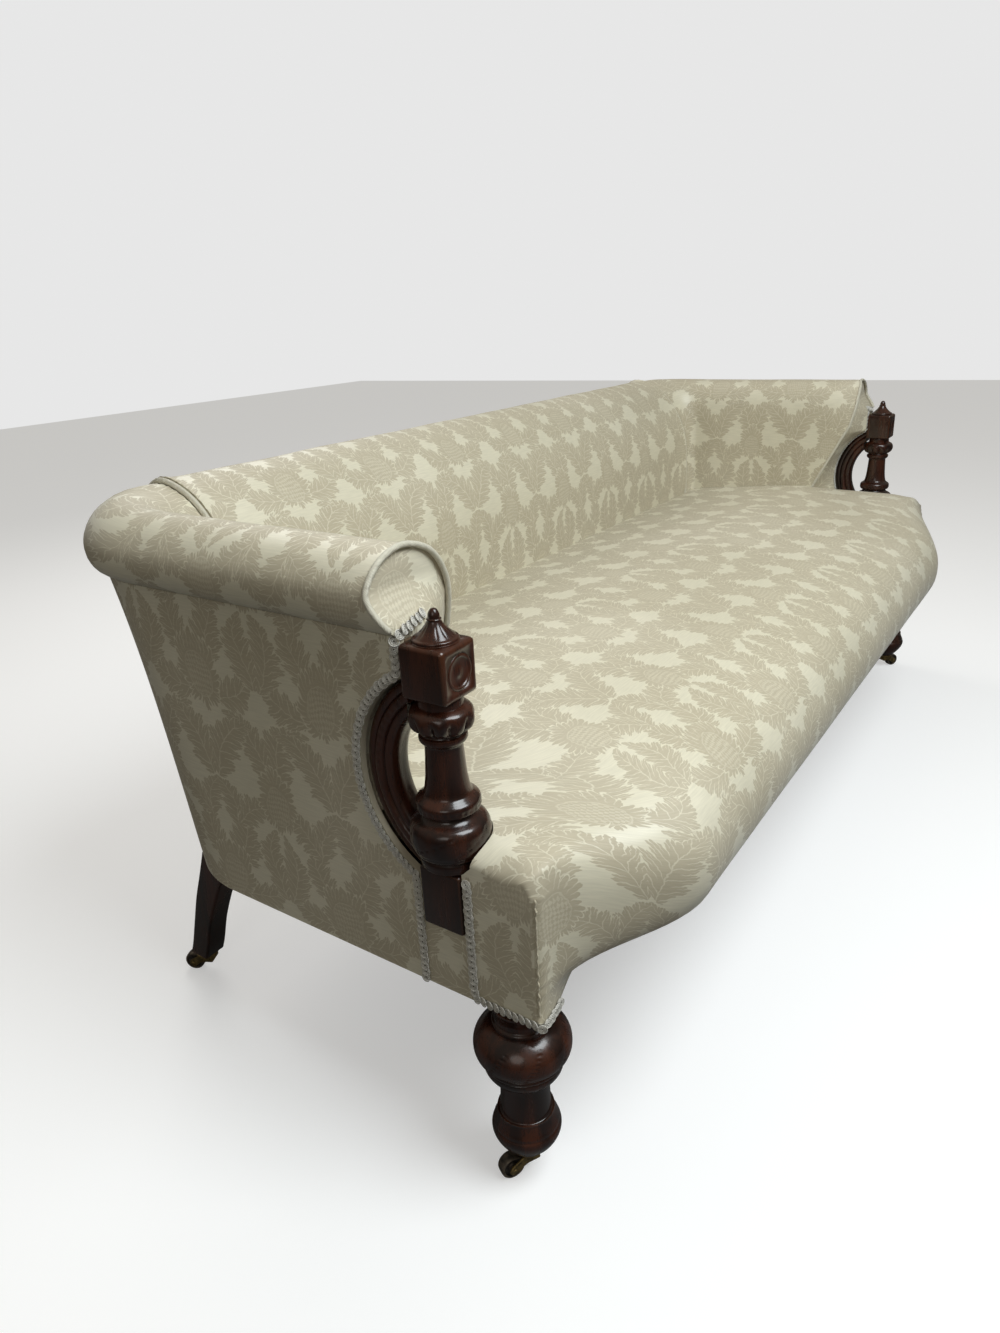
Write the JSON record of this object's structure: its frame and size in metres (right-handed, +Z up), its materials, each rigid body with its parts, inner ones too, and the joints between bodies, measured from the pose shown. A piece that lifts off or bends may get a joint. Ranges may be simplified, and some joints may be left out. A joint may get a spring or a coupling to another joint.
{
  "type": "victorian sofa",
  "caption": "Show-wood sofa with scrolled arms and back, a deep sprung seat, turned arm posts on open brackets, turned front legs, sabre back legs and brass castors.",
  "frame": {"origin": "on the floor, under the middle of the box that the sofa fills", "axes": "+X along the seat to the sitter's left as they sit, -Y out of the seat's front, +Z up"},
  "size_m": [1.8182, 0.8323, 0.7201],
  "materials": {
    "damask": "woven damask, satin ground with a matte figure",
    "piping": "cord covered in the same cloth",
    "gimp": "scroll gimp braid",
    "mahogany": "French polished, dark red brown",
    "beech": "sawn, unpolished",
    "brass": "aged, dull",
    "wheel": "dark with wear, dull",
    "jute": "webbing and sprung wire",
    "lining": "black lining cloth"
  },
  "bodies": {
    "frame": {"arm_bracket_left": "mahogany", "arm_bracket_right": "mahogany", "arm_pad_left": "damask", "arm_pad_right": "damask", "arm_post_left": "mahogany", "arm_post_right": "mahogany", "arm_top_rail_left": "beech", "arm_top_rail_right": "beech", "back_centre_upright": "beech", "back_leg_left": "mahogany", "back_leg_right": "mahogany", "back_pad": "damask", "back_piping_left": "piping", "back_piping_right": "piping", "back_seat_rail": "beech", "back_top_rail": "beech", "castor_plate_back_left": "brass", "castor_plate_back_right": "brass", "castor_plate_front_left": "brass", "castor_plate_front_right": "brass", "centre_seat_brace": "beech", "dust_cover": "lining", "finial_left": "mahogany", "finial_right": "mahogany", "front_leg_left": "mahogany", "front_leg_right": "mahogany", "front_seat_rail": "beech", "gimp_bracket_left": "gimp", "gimp_bracket_right": "gimp", "gimp_facing_left": "gimp", "gimp_facing_right": "gimp", "gimp_front_left": "gimp", "gimp_front_right": "gimp", "outside_arm_left": "damask", "outside_arm_right": "damask", "outside_back": "damask", "roundel_left": "mahogany", "roundel_right": "mahogany", "scroll_facing_left": "damask", "scroll_facing_right": "damask", "scroll_piping_left": "piping", "scroll_piping_right": "piping", "seat_pad": "damask", "side_seat_rail_left": "beech", "side_seat_rail_right": "beech", "webbing_and_springs": "jute"},
    "castor_swivel_front_left": {"castor_fork_front_left": "brass", "castor_axle_front_left": "brass"},
    "castor_roller_front_left": {"castor_wheel_front_left": "wheel"},
    "castor_swivel_front_right": {"castor_fork_front_right": "brass", "castor_axle_front_right": "brass"},
    "castor_roller_front_right": {"castor_wheel_front_right": "wheel"},
    "castor_swivel_back_left": {"castor_fork_back_left": "brass", "castor_axle_back_left": "brass"},
    "castor_roller_back_left": {"castor_wheel_back_left": "wheel"},
    "castor_swivel_back_right": {"castor_fork_back_right": "brass", "castor_axle_back_right": "brass"},
    "castor_roller_back_right": {"castor_wheel_back_right": "wheel"}
  },
  "joints": [
    {"name": "swivel_front_left", "type": "hinge", "parent": "frame", "child": "castor_swivel_front_left", "pos_m": [-0.856, -0.272, 0.034], "axis": [0, 0, 1], "continuous": true},
    {"name": "roll_front_left", "type": "hinge", "parent": "castor_swivel_front_left", "child": "castor_roller_front_left", "pos_m": [-0.87505, -0.261, 0.01422], "axis": [-0.5, -0.866, 0], "continuous": true},
    {"name": "swivel_front_right", "type": "hinge", "parent": "frame", "child": "castor_swivel_front_right", "pos_m": [0.856, -0.272, 0.034], "axis": [0, 0, 1], "continuous": true},
    {"name": "roll_front_right", "type": "hinge", "parent": "castor_swivel_front_right", "child": "castor_roller_front_right", "pos_m": [0.87402, -0.28462, 0.01422], "axis": [0.5736, 0.8192, 0], "continuous": true},
    {"name": "swivel_back_left", "type": "hinge", "parent": "frame", "child": "castor_swivel_back_left", "pos_m": [-0.826, 0.321, 0.034], "axis": [0, 0, 1], "continuous": true},
    {"name": "roll_back_left", "type": "hinge", "parent": "castor_swivel_back_left", "child": "castor_roller_back_left", "pos_m": [-0.8353, 0.34094, 0.01422], "axis": [-0.9063, -0.4226, 0], "continuous": true},
    {"name": "swivel_back_right", "type": "hinge", "parent": "frame", "child": "castor_swivel_back_right", "pos_m": [0.826, 0.321, 0.034], "axis": [0, 0, 1], "continuous": true},
    {"name": "roll_back_right", "type": "hinge", "parent": "castor_swivel_back_right", "child": "castor_roller_back_right", "pos_m": [0.837, 0.34005, 0.01422], "axis": [-0.866, 0.5, 0], "continuous": true}
  ]
}
